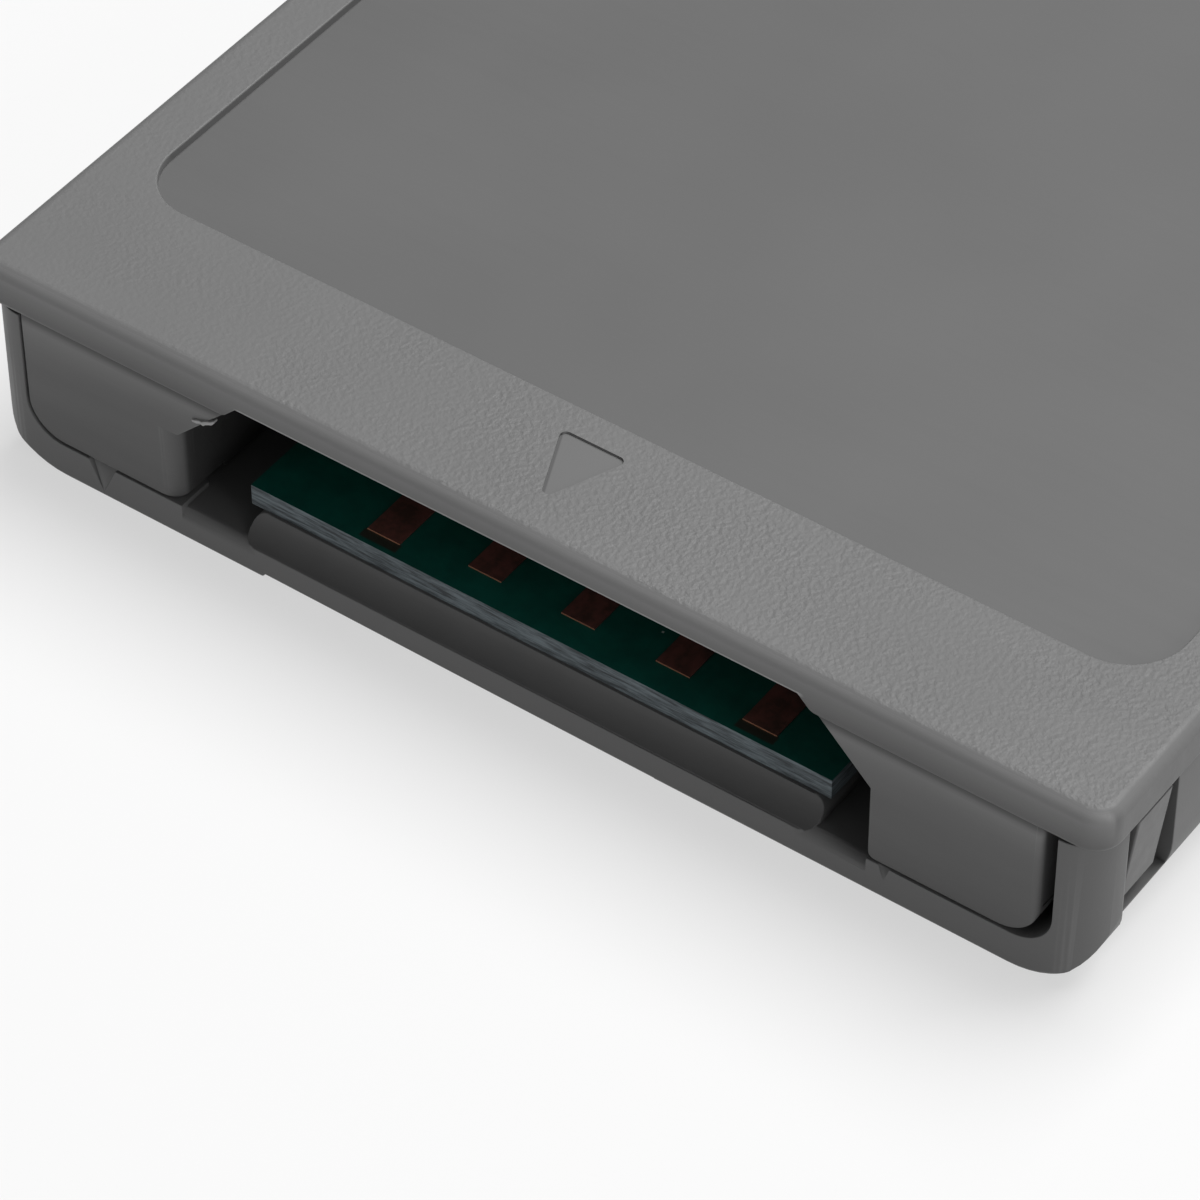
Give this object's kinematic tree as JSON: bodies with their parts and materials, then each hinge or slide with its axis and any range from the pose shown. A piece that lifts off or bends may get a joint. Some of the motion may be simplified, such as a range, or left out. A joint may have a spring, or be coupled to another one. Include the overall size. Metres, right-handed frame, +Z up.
{
  "type": "memory card adapter",
  "caption": "Flat two-part moulded adapter with a circuit board tongue in its front slot and a flash card socket behind its rear slot.",
  "frame": {"origin": "centre of the underside, on the surface that the adapter lies on", "axes": "+Z up out of the lid, -Y out of the front slot with the board tongue, +X to the right seen from the front"},
  "size_m": [0.042, 0.052, 0.008],
  "materials": {
    "top_housing": "fine moulded grain on the border, smooth in the label recess",
    "bottom_housing": "plain moulded grey",
    "board": "dark green solder mask on glass laminate, grey cut edges",
    "board_contact": "plated copper",
    "socket_moulding": "black moulded insulator",
    "socket_steel": "stamped sheet",
    "spring_contact": "gold-plated bronze strip",
    "chip_ceramic": "brown ceramic with tinned ends",
    "chip_resistor": "black glazed ceramic with tinned ends"
  },
  "bodies": {
    "root": {"top_shell": "top_housing", "bottom_shell": "bottom_housing", "circuit_board": "board", "edge_contact_1": "board_contact", "edge_contact_2": "board_contact", "edge_contact_3": "board_contact", "edge_contact_4": "board_contact", "edge_contact_5": "board_contact", "card_socket_body": "socket_moulding", "card_socket_cover": "socket_steel", "socket_spring_1": "spring_contact", "socket_spring_2": "spring_contact", "socket_spring_3": "spring_contact", "socket_spring_4": "spring_contact", "socket_spring_5": "spring_contact", "socket_spring_6": "spring_contact", "socket_spring_7": "spring_contact", "socket_spring_8": "spring_contact", "socket_spring_9": "spring_contact", "card_detect_spring": "spring_contact", "write_protect_spring": "spring_contact", "filter_capacitor": "chip_ceramic", "detect_resistor": "chip_resistor", "protect_resistor": "chip_resistor"}
  },
  "joints": []
}
